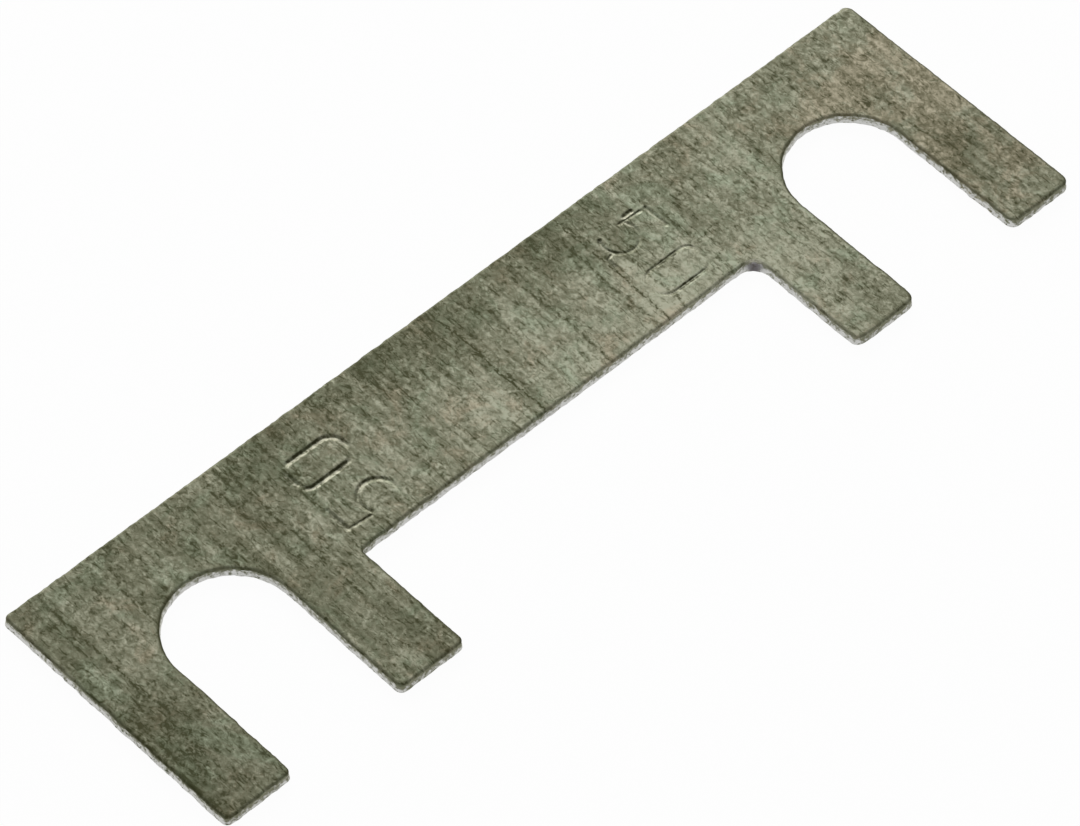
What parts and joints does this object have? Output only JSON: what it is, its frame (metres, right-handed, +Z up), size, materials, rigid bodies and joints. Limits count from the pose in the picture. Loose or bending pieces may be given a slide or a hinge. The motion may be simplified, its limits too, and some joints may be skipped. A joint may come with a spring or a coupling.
{
  "type": "strip fuse",
  "caption": "Flat metal strip fuse: a narrow fusible band between two wider pads, each with an open slot that slides under a terminal stud.",
  "frame": {"origin": "middle of the strip's outline, on its flat underside", "axes": "+X along the strip from one slotted pad to the other, +Y from the prong tips to the straight back edge, +Z up out of the stamped face"},
  "size_m": [0.0408, 0.0112, 0.0004],
  "materials": {
    "zinc_sheet": "dull rolled zinc sheet, greenish grey, with fine grain across the strip and faint stains"
  },
  "bodies": {
    "root": {"fuse_strip": "zinc_sheet"}
  },
  "joints": []
}
